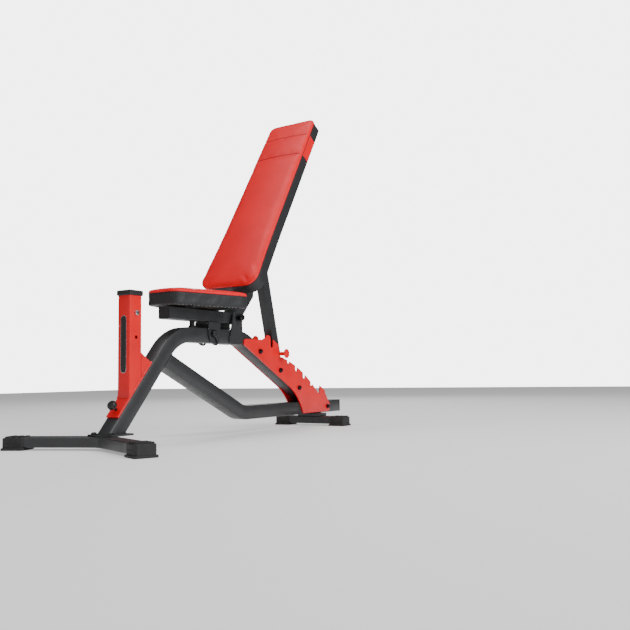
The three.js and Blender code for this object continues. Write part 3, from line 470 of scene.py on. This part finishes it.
SEAM_ROW = 15  # the row of cover_profile that lies in the seam
FACE_ROWS = 12
BASE_ROWS = 5
HELD_PROFILE_ROWS = 10  # rows of cover_profile, from the board up, that the cloth step holds
DIP_DEPTH, DIP_WIDTH = 2.4, 5.0  # how a seam across the face sinks into it
BACK_FOAM, BACK_BOARD = 42.15, 11.7
SEAT_FOAM, SEAT_BOARD = 39.1, 10.4
PUFF = {"pressure": 2.2, "cap_mm": 3.0, "slack": 0.004}
PUFF_FRAMES = 20
STAPLE_DEPTH = 1.1  # below the board


def build_cushion(name, half_outline, foam, board, crown, count, seams=()):
    """A closed cushion: rings follow the outline, and inside the face they close on its middle line.
    Seams cross the face, and between two of them the face's cover goes round the side."""
    ring, inward = closed_outline(half_outline, count)
    profile = cover_profile(foam, board)
    low, high = ring[:, 1].min(), ring[:, 1].max()
    reach = ring[:, 0].max()
    spine = np.stack([np.zeros(count), np.clip(ring[:, 1], low + reach, high - reach)], 1)
    rows, heights = [], []
    edge = ring + inward * profile[0][0]
    for i in range(BASE_ROWS, 0, -1):
        share = i / BASE_ROWS
        rows.append(edge + (spine - edge) * share)
        heights.append(np.full(count, float(-foam)))
    for inset, height in profile:
        rows.append(ring + inward * inset)
        heights.append(np.full(count, height))
    edge = rows[-1]
    for i in range(1, FACE_ROWS + 1):
        share = i / FACE_ROWS
        rows.append(edge + (spine - edge) * share)
        heights.append(np.full(count, profile[-1][1] + crown * math.sin(share * math.pi / 2)))
    y_at = ring[:, 1]
    points = np.concatenate([np.array(rows), np.array(heights)[..., None]], 2)
    on_spokes = [y_at[np.argmin(abs(y_at - seam))] for seam in seams]
    for seam_y in on_spokes:
        dip = DIP_DEPTH * np.exp(-((points[..., 1] - seam_y) / DIP_WIDTH) ** 2)
        face = np.arange(len(rows))[:, None] > BASE_ROWS + SEAM_ROW + 2
        points[..., 2] -= dip * face
    total = len(rows)
    faces, looks = [], []
    for r in range(total - 1):
        side = BASE_ROWS <= r < BASE_ROWS + SEAM_ROW
        for k in range(count):
            m = (k + 1) % count
            faces.append((r * count + k, r * count + m, (r + 1) * count + m, (r + 1) * count + k))
            wrap = bool(seams) and seams[0] < (y_at[k] + y_at[m]) / 2 < seams[1]
            looks.append(1 if side and not wrap else 0)
    piece = add_mesh(name, points.reshape(-1, 3) * MM, faces, [RED_VINYL, BLACK_VINYL])
    piece.data.polygons.foreach_set("material_index", looks)
    held = np.zeros((total, count))
    held[:BASE_ROWS + HELD_PROFILE_ROWS] = 1
    held[BASE_ROWS + SEAM_ROW - 1:BASE_ROWS + SEAM_ROW + 2] = 1
    for seam_y in on_spokes:
        on_seam = abs(points[BASE_ROWS + SEAM_ROW + 3:, :, 1] - seam_y) < 2.0
        held[BASE_ROWS + SEAM_ROW + 3:][on_seam] = 0.85
    group = piece.vertex_groups.new(name="held")
    flat = held.reshape(-1)
    for weight in np.unique(flat[flat > 0]):
        group.add(np.nonzero(flat == weight)[0].tolist(), float(weight), "REPLACE")
    close_rings(piece)
    return piece


def close_rings(piece):
    """Joins the points that meet on the middle line, so that the cushion is one closed skin."""
    merge = piece.modifiers.new("merge", "WELD")
    merge.merge_threshold = 2e-5
    apply_all(piece)


def apply_all(piece):
    """Bakes every modifier of a piece into its mesh."""
    evaluated = piece.evaluated_get(bpy.context.evaluated_depsgraph_get())
    mesh = bpy.data.meshes.new_from_object(evaluated)
    piece.modifiers.clear()
    piece.data = mesh


def puff(piece, pressure, cap_mm, slack):
    """Inflates the cover against its held seams by cloth simulation, and caps how far any point moves."""
    rest = np.array([v.co for v in piece.data.vertices], float)
    cloth = piece.modifiers.new("puff", "CLOTH")
    settings = cloth.settings
    settings.quality = 7
    settings.mass = 0.25
    settings.tension_stiffness = 25
    settings.compression_stiffness = 25
    settings.shear_stiffness = 12
    settings.bending_stiffness = 4
    settings.use_pressure = True
    settings.uniform_pressure_force = pressure
    settings.shrink_min = -slack
    settings.vertex_group_mass = "held"
    settings.pin_stiffness = 1.0
    settings.effector_weights.gravity = 0
    cloth.collision_settings.use_collision = False
    scene = bpy.context.scene
    for step in range(1, PUFF_FRAMES + 1):
        scene.frame_set(step)
    evaluated = piece.evaluated_get(bpy.context.evaluated_depsgraph_get())
    moved = np.array([v.co for v in evaluated.data.vertices], float)
    scene.frame_set(1)
    piece.modifiers.clear()
    shift = moved - rest
    length = np.linalg.norm(shift, axis=1)[:, None] + 1e-12
    cap = cap_mm * MM
    shift *= cap * np.tanh(length / cap) / length
    piece.data.vertices.foreach_set("co", (rest + shift).astype(np.float32).ravel())
    piece.data.update()


def settle(piece, place):
    """Puts a cushion drawn in its own frame in its place, and refines its skin."""
    finer = piece.modifiers.new("finer", "SUBSURF")
    finer.levels = 1
    finer.render_levels = 1
    apply_all(piece)
    piece.vertex_groups.clear()
    piece.data.transform(place)
    piece.data.polygons.foreach_set("use_smooth", [True] * len(piece.data.polygons))
    piece.data.update()


HEAD_SEAMS = (650, 760)  # up the back pad; between them the red cover goes round the side


def add_cross_seams(piece, half_outline):
    """A sunk near-black cord along each seam that crosses the back cushion's face: partly the seam's thread,
    partly painted shade standing in for the groove's shadow.
    """
    half = np.array(half_outline, float)
    to_pad = BACK_FRAME.inverted()
    tree = BVHTree.FromObject(piece, bpy.context.evaluated_depsgraph_get())
    paths = []
    for seam in HEAD_SEAMS:
        reach = half[np.argmin(abs(half[:, 1] - seam)), 0] - 4
        path = []
        for step in np.linspace(-reach, reach, 90):
            above = BACK_FRAME @ Vector((step * MM, seam * MM, 0.05))
            hit = tree.ray_cast(above, -BACK_FRAME.col[2].to_3d())[0]
            if hit is not None and (to_pad @ hit).z > -0.011:
                path.append(hit)
        paths.append(path)
    add_tubes("back_cross_seams", paths, THREAD_AND_GROOVE_SHADE, "back", "black_plastic", radius=0.0009)


def add_cushions():
    back = build_cushion("back_cushion", back_half_outline(), BACK_FOAM, BACK_BOARD, 4.5, 260, HEAD_SEAMS)
    seat = build_cushion("seat_cushion", seat_half_outline(), SEAT_FOAM, SEAT_BOARD, 4.0, 150)
    puff(back, **PUFF)
    puff(seat, **PUFF)
    settle(back, BACK_FRAME)
    settle(seat, SEAT_FRAME)
    for piece, node, body in ((back, "back_pad", "back"), (seat, "seat_pad", "seat")):
        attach(piece, body)
        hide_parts(node)
    add_seam_cords(back_half_outline(), BACK_FRAME, "back")
    add_seam_cords(seat_half_outline(), SEAT_FRAME, "seat")
    for body, outline, place, foam, board in (
            ("back", back_half_outline(), BACK_FRAME, BACK_FOAM, BACK_BOARD),
            ("seat", seat_half_outline(), SEAT_FRAME, SEAT_FOAM, SEAT_BOARD)):
        add_staples(f"{body}_board_staples", outline, place, -foam - board - STAPLE_DEPTH, body)
    add_cross_seams(back, back_half_outline())


def add_seam_cords(half_outline, place, body):
    """The thin cord sewn in the seam between the face and the side."""
    ring, inward = closed_outline(half_outline, 420)
    route = ring + inward * 1.7
    path = [place @ Vector((x * MM, y * MM, -SEAM * MM)) for x, y in route]
    add_tubes(f"{body}_seam_cord", [path], THREAD_AND_GROOVE_SHADE, body, "black_plastic", radius=0.0011, closed=True)


def add_staples(name, half_outline, place, height, body):
    """Staples that hold the cover's hem to the board's underside."""
    ring, inward = closed_outline(half_outline, 2 * 32)
    paths = []
    for point, normal in zip(ring, inward):
        middle = point + normal * 11
        along = np.array([-normal[1], normal[0]]) * 5
        ends = [Vector((*(middle + along * side) * MM, height * MM)) for side in (-1, 1)]
        paths.append([place @ p for p in walk_line(ends, 0.002)])
    add_tubes(name, paths, FINISHES["zinc"], body, "zinc", radius=0.0006, sides=6)


# ---------------------------------------------------------------- welds
LEG = (math.cos(math.radians(49.8)), math.sin(math.radians(49.8)))
FALL = (math.cos(math.radians(27.95)), -math.sin(math.radians(27.95)))
BRACE = (math.cos(math.radians(25)), -math.sin(math.radians(25)))
FRONT_CORNER, REAR_CORNER, BEAM_CORNER = (164, 343), (514, 343), (512, 75)
HALF_TUBE = 25
BEAD_STEP = 0.001  # metres
LEVEL, UPRIGHT = (1, 0), (0, 1)


def beside(corner, direction, offset):
    """A point on the line parallel to a centre line, offset to its left in the side view."""
    return corner[0] - direction[1] * offset, corner[1] + direction[0] * offset


def around_tube(first, second, half=HALF_TUBE):
    """A bead round a tube's mouth: across at two points of the side view, and down both sides."""
    corners = [(half, first), (half, second), (-half, second), (-half, first), (half, first)]
    return walk_line([drawn(x, *at) for x, at in corners], BEAD_STEP)


def frame_beads():
    leg_back = beside(FRONT_CORNER, LEG, -HALF_TUBE)
    brace = [crossing(leg_back, LEG, beside(BEAM_CORNER, BRACE, side), BRACE) for side in (25, -25)]
    foot = [crossing((0, 44), LEVEL, beside(FRONT_CORNER, LEG, side), LEG) for side in (25, -25)]
    tail = [crossing((0, 100.5), LEVEL, beside(REAR_CORNER, FALL, side), FALL) for side in (25, -25)]
    beads = [around_tube(*brace), around_tube(*foot), around_tube(*tail)]
    plate = [(426, 345), (428, 326), (438, 319), (488, 319), (498, 326), (500, 345)]
    for side in (-1, 1):
        beads.append(walk_line([drawn(side * 26.5, y, z) for y, z in plate], BEAD_STEP))
        beads.append(walk_line([drawn(side * 26, 982, 49.6), drawn(side * 26, 1038, 49.6)], BEAD_STEP))
    return beads


def post_beads():
    over = beside(FRONT_CORNER, LEG, HALF_TUBE + 6)
    mouth = [crossing(over, LEG, (y, 0), UPRIGHT) for y in (-44, 6)]
    beads = [around_tube(*mouth)]
    tip_z = crossing(over, LEG, (50, 0), UPRIGHT)[1]
    for side in (-1, 1):
        low = mouth[1][1] + 8
        edge = [drawn(side * 24.4, 6.6, low), drawn(side * 24.4, 6.6, tip_z + 22)]
        beads.append(walk_line(edge, BEAD_STEP))
        slope = [(y, crossing(over, LEG, (y, 0), UPRIGHT)[1]) for y in (12, 48)]
        beads.append(walk_line([drawn(side * 24.4, y, z) for y, z in slope], BEAD_STEP))
    return beads


def back_beads():
    """Beads along the lugs, drawn in the back's own frame as (t, depth behind the face)."""
    beads = []
    lug = [(-16, 62), (110, 62), (110, 97)]
    strut_lug = [(168, 70), (171, 62), (239, 62), (242, 70)]
    for side in (-1, 1):
        for route in (lug, strut_lug):
            corners = [BACK_FRAME @ Vector((side * 20.6 * MM, t * MM, -depth * MM)) for t, depth in route]
            beads.append(walk_line(corners, BEAD_STEP))
    return beads


def seat_beads():
    return [walk_line([drawn(side * 26, 313, 389.8), drawn(side * 26, 375, 389.8)], BEAD_STEP)
            for side in (-1, 1)]


def add_welds():
    for name, beads, body, slot in (
            ("frame_weld_beads", frame_beads(), "frame", "frame_paint"),
            ("post_weld_beads", post_beads(), "frame", "red_paint"),
            ("back_weld_beads", back_beads(), "back", "frame_paint"),
            ("seat_weld_beads", seat_beads(), "seat", "frame_paint")):
        add_tubes(name, beads, FINISHES[slot], body, slot, radius=0.0020, ripple=0.16)


# ---------------------------------------------------------------- badge on the post
def add_badge():
    """A plain pill-shaped badge without any lettering: a pale rim round a dark field."""
    front = POST_FRONT_MM
    for name, width, low, high, lift, material, slot in (
            ("post_badge_rim", 24, 218, 390, 0.45, FINISHES["zinc"], "zinc"),
            ("post_badge_field", 20, 220, 388, 0.7, FINISHES["black_plastic"], "black_plastic")):
        radius = width / 2
        outline = [(x, high - radius + z) for x, z in arc(0, 0, radius, 0, 180)]
        outline += [(x, low + radius + z) for x, z in arc(0, 0, radius, 180, 360)]
        rings = [(0.0, front - 0.05), (0.0, front - lift + 0.15), (0.25, front - lift)]
        points, faces = [], []
        centre_z = (low + high) / 2
        for inset, y in rings:
            share_x, share_z = 1 - inset / radius, 1 - inset / ((high - low) / 2)
            points += [drawn(x * share_x, y, centre_z + (z - centre_z) * share_z) for x, z in outline]
        n = len(outline)
        for r in range(len(rings) - 1):
            for k in range(n):
                m = (k + 1) % n
                faces.append((r * n + k, r * n + m, (r + 1) * n + m, (r + 1) * n + k))
        faces.append(tuple(reversed(range(n))))
        faces.append(tuple(range((len(rings) - 1) * n, len(rings) * n)))
        piece = add_mesh(name, points, faces, [material], smooth=False)
        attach(piece, "frame")


add_camera()
add_studio()
dress_cad_nodes()
add_cushions()
add_welds()
add_badge()
